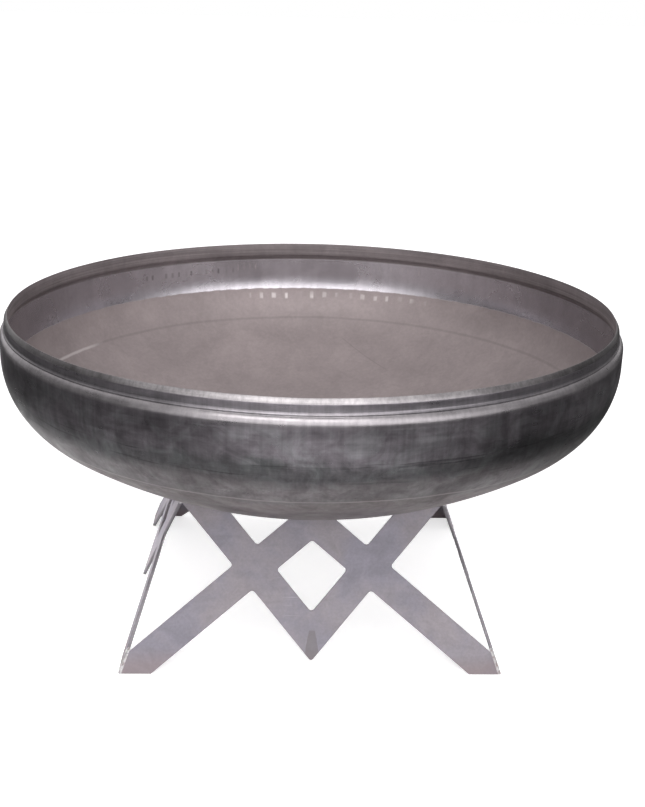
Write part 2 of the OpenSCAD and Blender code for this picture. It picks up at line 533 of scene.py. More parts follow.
@dataclass(frozen=True)
class InsideSteel:
    """Dull warm steel of the dish with a burnished band round the wall, darkened towards the left and right
    as painted shade.
    """

    name: str = "bowl_inside_steel"
    dish: Colour = (0.312, 0.268, 0.270)
    wall: Colour = (0.600, 0.575, 0.618)
    rim: Colour = (0.190, 0.166, 0.171)
    worn: Colour = (0.240, 0.225, 0.240)
    dull_line: Colour = (0.16, 0.14, 0.14)
    bright_line: Colour = (0.66, 0.61, 0.61)
    worn_marks: Colour = (0.16, 0.145, 0.15)
    bright_marks: Colour = (0.80, 0.76, 0.76)
    scratch: Colour = (0.15, 0.13, 0.13)
    scratch_places: tuple[tuple[float, ...], ...] = (
        (0.105, 0.345, -1.1, 0.045),
        (-0.05, 0.05, 0.5, 0.050),
        (0.22, 0.12, -0.3, 0.045),
    )
    edge_height: float = 0.3862
    line_height: float = 0.3356
    wall_radius: float = 0.45
    dish_metal: float = 0.35
    wall_metal: float = 0.88

    def build(self) -> bpy.types.Material:
        """Makes the material.

        Returns:
            The material.
        """
        g = Graph(self.name)
        x, y, height = g.axes(g.place)
        arc = g.times(g.math("ARCTAN2", x, y), self.wall_radius)
        cloud = g.pattern((6, 6, 9), 3.0, detail=5, rough=0.6, warp=0.5)
        grain = g.pattern(160, 8.0, detail=4, rough=0.7)
        patch = g.pattern(30, 5.0, detail=5, rough=0.65, warp=0.7)
        streak = g.pattern((60, 60, 4), 6.0, detail=4, rough=0.6)
        sweep = g.pattern((5, 5, 420), 4.0, detail=4, rough=0.65, warp=0.3)
        ragged = g.plus(height, g.swing(streak, -0.0006, 0.0006))
        burnished = g.span(ragged, self.edge_height - 0.0010, self.edge_height + 0.0010)
        collar = g.span(height, 0.4385, 0.4420)
        # painted shade: the burnished wall darkens towards the left and right
        flank = g.times(burnished, g.span(g.math("ABSOLUTE", arc), 0.18, 0.55, 0.0, 0.45))
        colour = g.shade(g.blend(burnished, self.dish, self.wall), g.minus(1.0, flank))
        colour = g.blend(collar, colour, self.rim)
        tone = g.mottle((cloud, 0.88, 1.12, 0.25), (grain, 0.95, 1.05), (patch, 0.94, 1.05))
        colour = g.shade(colour, g.plus(tone, g.times(burnished, g.swing(streak, -0.05, 0.05))))
        worn = g.times(g.span(grain, 0.55, 0.68), g.window(height, 0.392, 0.4375, 0.003), 0.18)
        colour = g.blend(worn, colour, self.worn)
        wobble = g.plus(height, g.swing(cloud, -0.0008, 0.0008))
        line = g.window(wobble, self.line_height, self.line_height + 0.001, 0.0022)
        colour = g.blend(g.times(line, g.span(arc, -0.52, -0.40, 0.0, 0.30)), colour, self.dull_line)
        colour = g.blend(g.times(line, g.window(arc, -0.72, -0.48, 0.05), 0.6), colour, self.bright_line)
        colour = g.shade(colour, g.plus(1.0, g.times(collar, g.swing(sweep, -0.22, 0.22))))
        worn_row = g.times(g.window(height, 0.4190, 0.4245, 0.003), g.window(arc, -0.31, -0.14, 0.02))
        worn_row = g.times(worn_row, self.ticks(g, arc, 0.013, 9.0), 0.55)
        colour = g.blend(worn_row, colour, self.worn_marks)
        marks = g.times(self.press_marks(g, arc, height), 0.8)
        colour = g.blend(marks, colour, self.bright_marks)
        colour = g.blend(g.times(self.scratches(g, x, y), 0.25), colour, self.scratch)
        shine = g.times(burnished, g.minus(1.0, collar))
        rough = g.minus(g.swing(cloud, 0.54, 0.62), g.times(shine, 0.31))
        smooth = g.span(ragged, self.edge_height - 0.002, self.edge_height + 0.002, 0.3, 0.05)
        g.relief(g.minus(g.times(grain, smooth), marks), 0.00018, 0.6)
        metal = g.plus(self.dish_metal, g.times(shine, self.wall_metal - self.dish_metal))
        return g.finish(colour, rough, metal)

    def ticks(self, g: Graph, arc: Socket, pitch: float, seed: float) -> Socket:
        """Mask of short upright ticks along the wall.

        Args:
            g: the material's graph.
            arc: distance along the wall from the back.
            pitch: mean spacing of the ticks, in metres.
            seed: offset that sets one row apart from another.

        Returns:
            The mask's output socket.
        """
        spot = g.node("ShaderNodeCombineXYZ")
        g.join(g.times(arc, 0.5 / pitch), spot.inputs[0])
        spot.inputs[1].default_value = seed
        sway = g.noise(spot.outputs[0], detail=2)
        phase = g.plus(g.times(arc, 2.0 * math.pi / pitch), g.times(sway, 9.0))
        return g.times(g.span(g.math("SINE", phase), 0.25, 0.95), g.span(sway, 0.40, 0.58))

    def press_marks(self, g: Graph, arc: Socket, height: Socket) -> Socket:
        """Mask of the small bright marks left by the press in two rows.

        Args:
            g: the material's graph.
            arc: distance along the wall from the back.
            height: height above the floor.

        Returns:
            The mask's output socket.
        """
        ragged = g.pattern(22, 2.0, detail=1, rough=0.4)
        lift = g.plus(height, g.swing(ragged, -0.002, 0.002))
        low_row = g.times(g.window(lift, 0.3720, 0.3770, 0.004), g.window(arc, -0.13, 0.22, 0.03))
        low_row = g.times(low_row, self.ticks(g, arc, 0.024, 1.0))
        ends = g.plus(g.window(arc, -0.13, -0.07, 0.01), g.window(arc, 0.11, 0.22, 0.02))
        high_row = g.times(g.window(lift, 0.4250, 0.4310, 0.003), ends, self.ticks(g, arc, 0.011, 4.0))
        return g.times(g.math("ADD", low_row, high_row, clamp=True), g.span(ragged, 0.35, 0.65, 0.25, 0.85))

    def scratches(self, g: Graph, x: Socket, y: Socket) -> Socket:
        """Mask of a few long thin scratches across the dish.

        Args:
            g: the material's graph.
            x: distance to the right of the bowl's axis.
            y: distance behind it.

        Returns:
            The mask's output socket.
        """
        masks = []
        for middle_x, middle_y, slope, reach in self.scratch_places:
            norm = math.hypot(1.0, slope)
            dx, dy = g.minus(x, middle_x), g.minus(y, middle_y)
            run = g.math("DIVIDE", g.plus(dx, g.times(dy, slope)), norm)
            off = g.math("DIVIDE", g.minus(dy, g.times(dx, slope)), norm)
            masks.append(g.times(g.window(off, -0.0005, 0.0005, 0.0009), g.window(run, -reach, reach, 0.02)))
        return reduce(lambda a, b: g.math("ADD", a, b, clamp=True), masks)


@dataclass(frozen=True)
class GroundSteel:
    """Bright steel of the ground bevel round the rim, darker towards the left and right as painted shade."""

    name: str = "rim_ground_steel"
    bright: Colour = (0.400, 0.380, 0.392)
    metal: float = 1.0

    def build(self) -> bpy.types.Material:
        """Makes the material.

        Returns:
            The material.
        """
        g = Graph(self.name)
        across = g.pattern((240, 240, 12), 1.0, detail=4, rough=0.65)
        along = g.pattern((9, 9, 700), 1.0, detail=3, rough=0.6)
        cloud = g.pattern(16, 3.0, detail=5, rough=0.65)
        aside = g.math("ABSOLUTE", g.axes(g.place)[0])
        tone = g.mottle((across, 0.84, 1.12), (cloud, 0.66, 1.12), (along, 0.92, 1.06))
        # painted shade: the bevel darkens away from the middle, towards the left and right
        tone = g.times(tone, g.span(aside, 0.12, 0.38, 1.0, 0.50))
        g.relief(g.plus(across, along), 0.00008)
        return g.finish(g.shade(self.bright, tone), g.swing(cloud, 0.34, 0.46), self.metal)


@dataclass(frozen=True)
class PlateSteel:
    """Dull rolled face of a base plate, with stains at its feet and tip."""

    seed: float
    drip: float
    face: Colour = (0.246, 0.234, 0.276)
    face_other: Colour = (0.250, 0.229, 0.248)
    foot: Colour = (0.235, 0.180, 0.178)
    dried: Colour = (0.120, 0.108, 0.110)
    scratch: Colour = (0.62, 0.60, 0.62)
    metal: float = 0.45

    def build(self) -> bpy.types.Material:
        """Makes the material.

        Returns:
            The material.
        """
        g = Graph(f"plate_face_steel_{int(self.seed)}")
        across, along, _ = g.axes(g.place)
        cloud = g.pattern(9, self.seed, detail=5, rough=0.6, warp=0.6)
        rolled = g.pattern((8, 90, 8), self.seed * 2, detail=4, rough=0.6)
        grain = g.pattern(260, self.seed, detail=3, rough=0.7)
        patch = g.pattern(34, self.seed + 1.0, detail=6, rough=0.65, warp=0.8)
        tone = g.mottle((cloud, 0.80, 1.18, 0.25), (patch, 0.90, 1.08, 0.22))
        tone = g.times(tone, g.mottle((rolled, 0.97, 1.03), (grain, 0.95, 1.05)))
        colour = g.shade(g.blend(g.span(cloud, 0.35, 0.65), self.face, self.face_other), tone)
        warm = g.span(g.plus(along, g.swing(cloud, -0.01, 0.01)), 0.006, 0.034, 0.50, 0.0)
        colour = g.blend(warm, colour, self.foot)
        stain = self.stain(g, across, along)
        colour = g.blend(g.times(stain, 0.62), colour, self.dried)
        scratch = self.scratches(g)
        colour = g.blend(g.times(scratch, 0.35), colour, self.scratch)
        g.relief(g.minus(g.plus(g.times(grain, 0.5), rolled), scratch), 0.00012)
        return g.finish(colour, g.minus(g.swing(cloud, 0.46, 0.58), g.times(stain, 0.10)), self.metal)

    def stain(self, g: Graph, across: Socket, along: Socket) -> Socket:
        """Mask of the drip that dried on its way down to the lower tip.

        Args:
            g: the material's graph.
            across: distance from the plate's middle.
            along: distance up the plate.

        Returns:
            The mask's output socket.
        """
        wobble = g.pattern(60, self.seed + 3.0, detail=2)
        width = g.plus(g.span(along, 0.028, 0.068, 0.0095, 0.0026), g.swing(wobble, -0.0009, 0.0009))
        off = g.math("ABSOLUTE", g.minus(across, 0.001))
        inside = g.span(g.minus(off, width), -0.0004, 0.0009, 1.0, 0.0)
        return g.times(inside, g.span(along, self.drip, self.drip + 0.003, 1.0, 0.0))

    def scratches(self, g: Graph) -> Socket:
        """Mask of a few hair-thin scratches.

        Args:
            g: the material's graph.

        Returns:
            The mask's output socket.
        """
        line = g.span(g.pattern((12, 900, 12), turn=0.9 + self.seed, detail=1), 0.72, 0.76)
        here = g.pattern(14, self.seed + 7.0, detail=2)
        return g.times(line, g.span(here, 0.52, 0.62))


@dataclass(frozen=True)
class CutSteel:
    """Striated dark edge that the cutting beam left."""

    name: str = "plate_cut_edge"
    dark: Colour = (0.165, 0.155, 0.172)
    light: Colour = (0.330, 0.312, 0.336)
    metal: float = 0.5

    def build(self) -> bpy.types.Material:
        """Makes the material.

        Returns:
            The material.
        """
        g = Graph(self.name)
        lines = g.pattern((1500, 1500, 60), detail=2, rough=0.6)
        cloud = g.pattern(40, 2.0)
        share = g.math("MULTIPLY", lines, g.swing(cloud, 0.6, 1.2), clamp=True)
        g.relief(lines, 0.00015, 0.6)
        return g.finish(g.blend(share, self.dark, self.light), g.swing(cloud, 0.38, 0.52), self.metal)


@dataclass(frozen=True)
class ShadedArris:
    """Dark line along each arris, painted shade that stands in for the dark outlines of the plates' edges.
    """

    name: str = "plate_arris_painted_shade"
    dark: Colour = (0.040, 0.036, 0.040)
    light: Colour = (0.120, 0.108, 0.112)
    metal: float = 0.2

    def build(self) -> bpy.types.Material:
        """Makes the material.

        Returns:
            The material.
        """
        g = Graph(self.name)
        cloud = g.pattern(90, 4.0, detail=4, rough=0.6)
        # painted shade: the arris colour is dark throughout
        colour = g.blend(g.span(cloud, 0.40, 0.72), self.dark, self.light)
        g.relief(cloud, 0.0001)
        return g.finish(colour, g.swing(cloud, 0.55, 0.7), self.metal)


@dataclass(frozen=True)
class WeldSteel:
    """Silvery bead metal with a heat tint."""

    name: str = "weld_bead_metal"
    bright: Colour = (0.50, 0.49, 0.50)
    tint: Colour = (0.26, 0.22, 0.22)
    metal: float = 0.95

    def build(self) -> bpy.types.Material:
        """Makes the material.

        Returns:
            The material.
        """
        g = Graph(self.name)
        cloud = g.pattern(160, detail=4, rough=0.6)
        slag = g.pattern(700, 2.0, detail=3, rough=0.6)
        colour = g.blend(g.span(cloud, 0.45, 0.70), self.bright, self.tint)
        g.relief(slag, 0.0001)
        return g.finish(g.shade(colour, g.swing(slag, 0.85, 1.1)), g.swing(cloud, 0.26, 0.42), self.metal)


@dataclass(frozen=True)
class FloorPaint:
    """Plain pale studio floor, white to the eye and darker to each side in reflections."""

    name: str = "studio_floor"
    colour: Colour = (0.80, 0.80, 0.81)
    glow: float = 0.62
    flank: float = 0.08
    rough: float = 0.9

    def build(self) -> bpy.types.Material:
        """Makes the material.

        Returns:
            The material.
        """
        g = Graph(self.name)
        g.shader.inputs["Emission Color"].default_value = (1.0, 1.0, 1.0, 1.0)
        seen = g.node("ShaderNodeLightPath").outputs["Is Camera Ray"]
        g.join(g.times(seen, self.glow), g.shader.inputs["Emission Strength"])
        g.shader.inputs["Specular IOR Level"].default_value = 0.0
        x, y, _ = g.axes(g.place)
        aside = g.minus(g.math("ABSOLUTE", g.plus(x, 0.15)), g.times(y, 0.12))
        level = g.math("MAXIMUM", g.span(aside, 0.35, 0.95, 1.0, self.flank), seen)
        return g.finish(g.shade(self.colour, level), self.rough, 0.0)


@dataclass
class FireBowl:
    """Dished bowl with a rounded shoulder and a bevelled, set-in rim."""

    radius: float = 457.2
    thickness: float = 4.76
    knuckle_radius: float = 126.5
    wall_height: float = 25.0
    shoulder_radius: float = 13.8
    rim_height: float = 21.1
    rim_inset: float = 7.5
    rim_flare: float = 2.2
    flare_height: float = 5.3
    bevel_height: float = 6.6
    bevel_width: float = 4.2
    segments: int = 300
    sharp_angle: float = 26.0
    crown_z: float = field(init=False)
    crown_angle: float = field(init=False)
    knuckle_z: float = field(init=False)
    shoulder_z: float = field(init=False)

    def __post_init__(self) -> None:
        """Derives the heights and the angle where crown and knuckle meet."""
        self.crown_z = BOWL_CLEARANCE + CROWN_RADIUS
        inner = CROWN_RADIUS - self.knuckle_radius
        self.crown_angle = math.asin((self.radius - self.knuckle_radius) / inner)
        self.knuckle_z = self.crown_z - inner * math.cos(self.crown_angle)
        self.shoulder_z = self.knuckle_z + self.wall_height

    def dish(self, depth: float) -> list[Point]:
        """Crown and knuckle of a surface set in from the outside.

        Args:
            depth: how far the surface is set in.

        Returns:
            Points from the lowest one to the top of the knuckle.
        """
        points = []
        meeting = math.degrees(self.crown_angle)
        crown_steps, knuckle_steps = 64, 52
        for i in range(crown_steps + 1):
            x, z = toward(meeting * i / crown_steps - 90.0)
            r = CROWN_RADIUS - depth
            points.append((r * x, self.crown_z + r * z))
        for i in range(1, knuckle_steps + 1):
            x, z = toward(meeting + (90.0 - meeting) * i / knuckle_steps - 90.0)
            r = self.knuckle_radius - depth
            points.append((self.radius - self.knuckle_radius + r * x, self.knuckle_z + r * z))
        return points

    def shoulder(self, depth: float) -> list[Point]:
        """Wall and shoulder of a surface set in from the outside.

        Args:
            depth: how far the surface is set in.

        Returns:
            Points from above the knuckle to the crease under the rim.
        """
        wall_steps, arc_steps = 5, 14
        centre = self.radius - self.shoulder_radius
        rise = self.wall_height / wall_steps
        points = [(self.radius - depth, self.knuckle_z + rise * i) for i in range(1, wall_steps + 1)]
        crease_r = self.radius - self.rim_inset + self.rim_flare
        turn = math.degrees(math.acos((crease_r - centre) / self.shoulder_radius))
        r = self.shoulder_radius - depth
        for i in range(1, arc_steps + 1):
            x, z = toward(turn * i / arc_steps)
            points.append((centre + r * x, self.shoulder_z + r * z))
        return points

    def profile(self) -> tuple[list[Point], list[Zone]]:
        """Closed half section of the bowl.

        Returns:
            Points from the lowest outside point, over the rim, to the lowest
            inside point, and the zone of each step between them.
        """
        outside = self.dish(0.0) + self.shoulder(0.0)
        crease_r, crease_z = outside[-1]
        rim_r = self.radius - self.rim_inset
        rim_z = crease_z + self.rim_height
        flare_lean = 1.71
        outside += [
            (crease_r - 0.35, crease_z - 0.15),
            (crease_r - 0.55, crease_z + 0.15),
            (crease_r - 0.45, crease_z + 0.55),
        ]
        for share in (0.35, 0.55, 0.75, 1.0):
            lean = flare_lean * (1.0 - share) ** 2
            outside.append((rim_r + lean * self.rim_flare, crease_z + share * self.flare_height))
        flat_top = rim_z - self.bevel_height
        outside += [(rim_r, flat_top - 3.0), (rim_r, flat_top - 0.5)]
        bevel = [
            (rim_r - 0.15, flat_top + 0.1),
            (rim_r - self.bevel_width * 0.5, rim_z - self.bevel_height * 0.5),
            (rim_r - self.bevel_width + 0.1, rim_z - 0.2),
            (rim_r - self.bevel_width - 0.15, rim_z),
            (rim_r - self.thickness + 0.1, rim_z - 0.05),
        ]
        inner_dish = self.dish(self.thickness)
        inner_wall = self.shoulder(self.thickness)
        collar_r = rim_r - self.thickness
        inside = [
            (collar_r, rim_z - 0.3),
            (collar_r, rim_z - 8.0),
            (collar_r, crease_z + 3.0),
            (collar_r + 0.1, crease_z + 0.8),
            (collar_r + 0.5 * self.rim_flare, crease_z - 1.2),
        ]
        inside += list(reversed(inner_wall)) + list(reversed(inner_dish))
        points = outside + bevel + inside
        zones = [Zone.OUTSIDE] * len(outside) + [Zone.BEVEL] * len(bevel)
        zones += [Zone.INSIDE] * (len(points) - 1 - len(zones))
        return points, zones

    def wander(self, angle: float, z: float) -> tuple[float, float]:
        """Small departures of the pressed wall from a true circle.

        Args:
            angle: direction from the bowl's axis, in radians.
            z: height in millimetres.

        Returns:
            Offsets outward and up, in millimetres.
        """
        weight = smoothstep(self.knuckle_z - 90.0, self.knuckle_z, z)
        sideways = ((0.40, 3, 0.8), (0.22, 5, 2.1), (0.12, 11, 0.0), (0.07, 19, z * 0.03))
        upward = ((0.18, 4, 1.0), (0.10, 9, 0.4))
        out, up = (sum(size * math.sin(n * angle + lag) for size, n, lag in w) for w in (sideways, upward))
        return out * weight, up * smoothstep(self.shoulder_z, self.shoulder_z + 20.0, z)

    def build(self) -> bpy.types.Object:
        """Turns the section into the bowl's mesh and dresses it.

        Returns:
            The bowl.
        """
        points, zones = self.profile()
        verts, faces, kinds = [], [], []
        ring = points[1:-1]
        for j in range(self.segments):
            angle = 2.0 * math.pi * j / self.segments
            for r, z in ring:
                out, up = self.wander(angle, z)
                reach = (r + out) * MM
                verts.append((reach * math.cos(angle), reach * math.sin(angle), (z + up) * MM))
        n = len(ring)
        bottom, top = len(verts), len(verts) + 1
        verts += [(0.0, 0.0, points[0][1] * MM), (0.0, 0.0, points[-1][1] * MM)]
        for j in range(self.segments):
            a, b = j * n, ((j + 1) % self.segments) * n
            faces.append((bottom, b, a))
            kinds.append(zones[0].value)
            for i in range(n - 1):
                faces.append((a + i, b + i, b + i + 1, a + i + 1))
                kinds.append(zones[i + 1].value)
            faces.append((top, a + n - 1, b + n - 1))
            kinds.append(zones[-1].value)
        mesh = bpy.data.meshes.new("fire_bowl")
        mesh.from_pydata(verts, [], faces)
        for finish in (OutsideSteel(), GroundSteel(), InsideSteel()):
            mesh.materials.append(finish.build())
        mesh.polygons.foreach_set("material_index", kinds)
        smooth_mesh(mesh, self.sharp_angle)
        obj = add("fire_bowl", mesh)
        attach(obj, "bowl")
        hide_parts("bowl")
        return obj


@dataclass
class LatticePlate:
    """One leaning base plate, cut to crossed struts and vee."""

    side: Side
    drip: float = 0.058
    strip_width: float = 44.0
    foot_length: float = 41.5
    apex_bridge: float = 36.0
    tip_clearance: float = 17.8
    corner_radius: float = 5.0
    tip_radius: float = 4.0
    corner_joint: float = 8.0
    seat_gap: float = 0.3
    arris: float = 0.35
    seat_steps: int = 8

    def __post_init__(self) -> None:
        """Derives the lines of the lattice from its sizes."""
        sin, cos = math.sin(LEAN), math.cos(LEAN)
        crown_z = BOWL_CLEARANCE + CROWN_RADIUS
        self.edge_u = HALF_BASE - PLATE_THICKNESS * cos
        self.seat_s = HALF_BASE * sin + crown_z * cos
        depth = HALF_BASE * cos - crown_z * sin
        nearest = -depth if depth < 0 else max(0.0, depth - PLATE_THICKNESS)
        self.seat_r = math.sqrt((CROWN_RADIUS + self.seat_gap) ** 2 - nearest**2)
        a = 1 + sin * sin
        b = self.seat_s + self.edge_u * sin
        c = self.seat_s**2 + self.edge_u**2 - self.seat_r**2
        self.corner_s = (b - math.sqrt(b * b - a * c)) / a
        self.corner_u = self.edge_u - self.corner_s * sin
        self.apex_s = self.seat_s - self.seat_r - self.apex_bridge
        self.strut_slope = self.apex_s / (self.edge_u - self.foot_length)
        self.strut_angle = math.degrees(math.atan(self.strut_slope))
        self.joint_s = self.corner_s - self.corner_joint
        self.vee_slope = (self.joint_s - self.tip_clearance) / (self.edge_u - self.joint_s * sin)
        self.vee_angle = math.degrees(math.atan(self.vee_slope))
        self.strut_top = self.apex_s + self.strip_width / math.cos(math.radians(self.strut_angle))
        self.vee_top = self.tip_clearance + self.strip_width / math.cos(math.radians(self.vee_angle))
        self.foot_join_s = (self.strut_top - self.strut_slope * self.edge_u) / (1 - self.strut_slope * sin)

    def crossing(self, strut_at_0: float, vee_at_0: float) -> Point:
        """Crossing of a strut edge and a vee edge, given where each meets u = 0."""
        u = (strut_at_0 - vee_at_0) / (self.strut_slope + self.vee_slope)
        return u, vee_at_0 + self.vee_slope * u

    def seat_at(self, u: float) -> Point:
        """Point of the seat's arc at a distance from the plate's middle."""
        return u, self.seat_s - math.sqrt(self.seat_r**2 - u * u)

    def meet_seat(self, at_0: float, slope: float) -> float:
        """Distance from the middle at which a strip's edge meets the seat.

        Args:
            at_0: where the edge meets u = 0.
            slope: rise of the edge for each step outward.

        Returns:
            The distance, in millimetres.
        """
        low, high = 0.0, self.corner_u
        rising = slope > 0
        halvings = 60
        for _ in range(halvings):
            mid = (low + high) / 2
            above = at_0 + slope * mid > self.seat_at(mid)[1]
            if above == rising:
                high = mid
            else:
                low = mid
        return (low + high) / 2

    def half_outline(self) -> list[Point]:
        """Right half of the outer edge, from the lower tip to the seat's middle.

        Returns:
            Its points.
        """
        va, sa, sin = self.vee_angle, self.strut_angle, math.sin(LEAN)
        tip = rounded((0.0, self.tip_clearance), va, 180 - va, self.tip_radius)
        points = list(reversed(tip[: ARC_STEPS // 2 + 1]))
        points[0] = (0.0, points[0][1])
        low = self.crossing(self.apex_s, self.tip_clearance)
        points += rounded(low, 180 + va, 360 - sa, self.corner_radius)
        points += [(self.edge_u - self.foot_length, 0.0), (self.edge_u, 0.0)]
        points.append((self.edge_u - self.foot_join_s * sin, self.foot_join_s))
        side = self.crossing(self.strut_top, self.tip_clearance)
        points += rounded(side, -sa, va, self.corner_radius)
        points.append((self.edge_u - self.joint_s * sin, self.joint_s))
        vee_u = self.meet_seat(self.vee_top, self.vee_slope)
        shares = [i / self.seat_steps for i in range(self.seat_steps + 1)]
        points += [self.seat_at(self.corner_u + (vee_u - self.corner_u) * share) for share in shares]
        top = self.crossing(self.strut_top, self.vee_top)
        points += rounded(top, va, 180 - sa, self.corner_radius)
        strut_u = self.meet_seat(self.strut_top, -self.strut_slope)
        points += [self.seat_at(strut_u * (1 - share)) for share in shares]
        return points

    def half_diamond(self) -> list[Point]:
        """Right half of the diamond, from its bottom to its top.

        Returns:
            Its points.
        """
        va, sa = self.vee_angle, self.strut_angle
        bottom = rounded((0.0, self.vee_top), va, 180 - va, self.corner_radius)
        side = rounded(self.crossing(self.apex_s, self.vee_top), 180 - sa, 180 + va, self.corner_radius)
        top = rounded((0.0, self.apex_s), 180 + sa, 360 - sa, self.corner_radius)
        middle = ARC_STEPS // 2
        points = bottom[middle::-1] + side[::-1] + top[: middle - 1 : -1]
        points[0] = (0.0, points[0][1])
        points[-1] = (0.0, points[-1][1])
        return points

    def inner_point(self, p: Point) -> Point:
        """Where a point of the outer face comes out on the inner face.

        Args:
            p: the point.

        Returns:
            The point on the inner face. Only those on the floor move.
        """
        u, s = p
        if s > 1e-6:
            return p
        lift = PLATE_THICKNESS * math.tan(LEAN)
        if abs(u) > self.edge_u - 1.0:
            return math.copysign(self.edge_u - lift * math.sin(LEAN), u), lift
        return math.copysign(self.edge_u - self.foot_length - lift / self.strut_slope, u), lift

    def mesh(self) -> bpy.types.Mesh:
        """Plate with a hole, cut edges and softened arrises.

        Returns:
            The mesh, with its faces given to face, cut edge and arris.
        """
        bm = bmesh.new()
        made: dict[tuple[float, float, bool], bmesh.types.BMVert] = {}

        def vert(p: Point, inner: bool) -> bmesh.types.BMVert:
            """Vertex at a point of the outer or the inner face.

            Args:
                p: the point on the outer face.
                inner: whether the vertex is on the inner face.

            Returns:
                The vertex, made once.
            """
            key = (round(p[0], 4) + 0.0, round(p[1], 4), inner)
            if key not in made:
                u, s = self.inner_point(p) if inner else p
                made[key] = bm.verts.new((u * MM, s * MM, -PLATE_THICKNESS * MM if inner else 0.0))
            return made[key]

        right = self.half_outline()
        hole = self.half_diamond()
        left = [(-u, s) for u, s in reversed(right)]
        left_hole = [(-u, s) for u, s in reversed(hole)]
        halves = [right + list(reversed(hole)), left + list(reversed(left_hole))]
        for half in halves:
            bm.faces.new([vert(p, False) for p in half])
            bm.faces.new([vert(p, True) for p in reversed(half)])
        outer_loop = right + left[1:-1]
        hole_loop = hole + left_hole[1:-1]
        for loop, sign in ((outer_loop, 1), (hole_loop, -1)):
            for p, q in zip(loop, loop[1:] + loop[:1]):
                corners = [vert(p, True), vert(q, True), vert(q, False), vert(p, False)]
                bm.faces.new(corners if sign > 0 else list(reversed(corners)))
        bm.normal_update()
        caps = {f for f in bm.faces if len(f.verts) > 4}
        edges = [e for e in bm.edges if len(set(e.link_faces) & caps) == 1]
        size = self.arris * MM
        bmesh.ops.bevel(bm, geom=edges, offset=size, segments=2, affect="EDGES", clamp_overlap=True)
        bm.normal_update()
        flat, upright = 0.98, 0.2
        for f in bm.faces:
            facing = abs(f.normal.z)
            f.material_index = 0 if facing > flat else 1 if facing < upright else 2
            f.smooth = facing <= flat
        mesh = bpy.data.meshes.new(f"base_plate_{self.side.name.lower()}_cut")
        bm.to_mesh(mesh)
        bm.free()
        return mesh

    def build(self, cut: bpy.types.Material, arris: bpy.types.Material) -> bpy.types.Object:
        """Places the plate on its side of the base and dresses it.

        Args:
            cut: the cut edges' material.
            arris: the arrises' material.

        Returns:
            The plate.
        """
        name = self.side.name.lower()
        mesh = self.mesh()
        mesh.materials.append(PlateSteel(3.0 + 5.0 * self.side.value, self.drip).build())
        mesh.materials.append(cut)
        mesh.materials.append(arris)
        obj = add(f"lattice_plate_{name}", mesh)
        turn = Matrix.Rotation(math.pi / 2 * self.side.value, 4, "Z")
        shift = Matrix.Translation((0.0, -HALF_BASE * MM, 0.0))
        obj.matrix_world = turn @ shift @ Matrix.Rotation(math.pi / 2 - LEAN, 4, "X")
        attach(obj, "base")
        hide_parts(f"base_plate_{name}")
        return obj


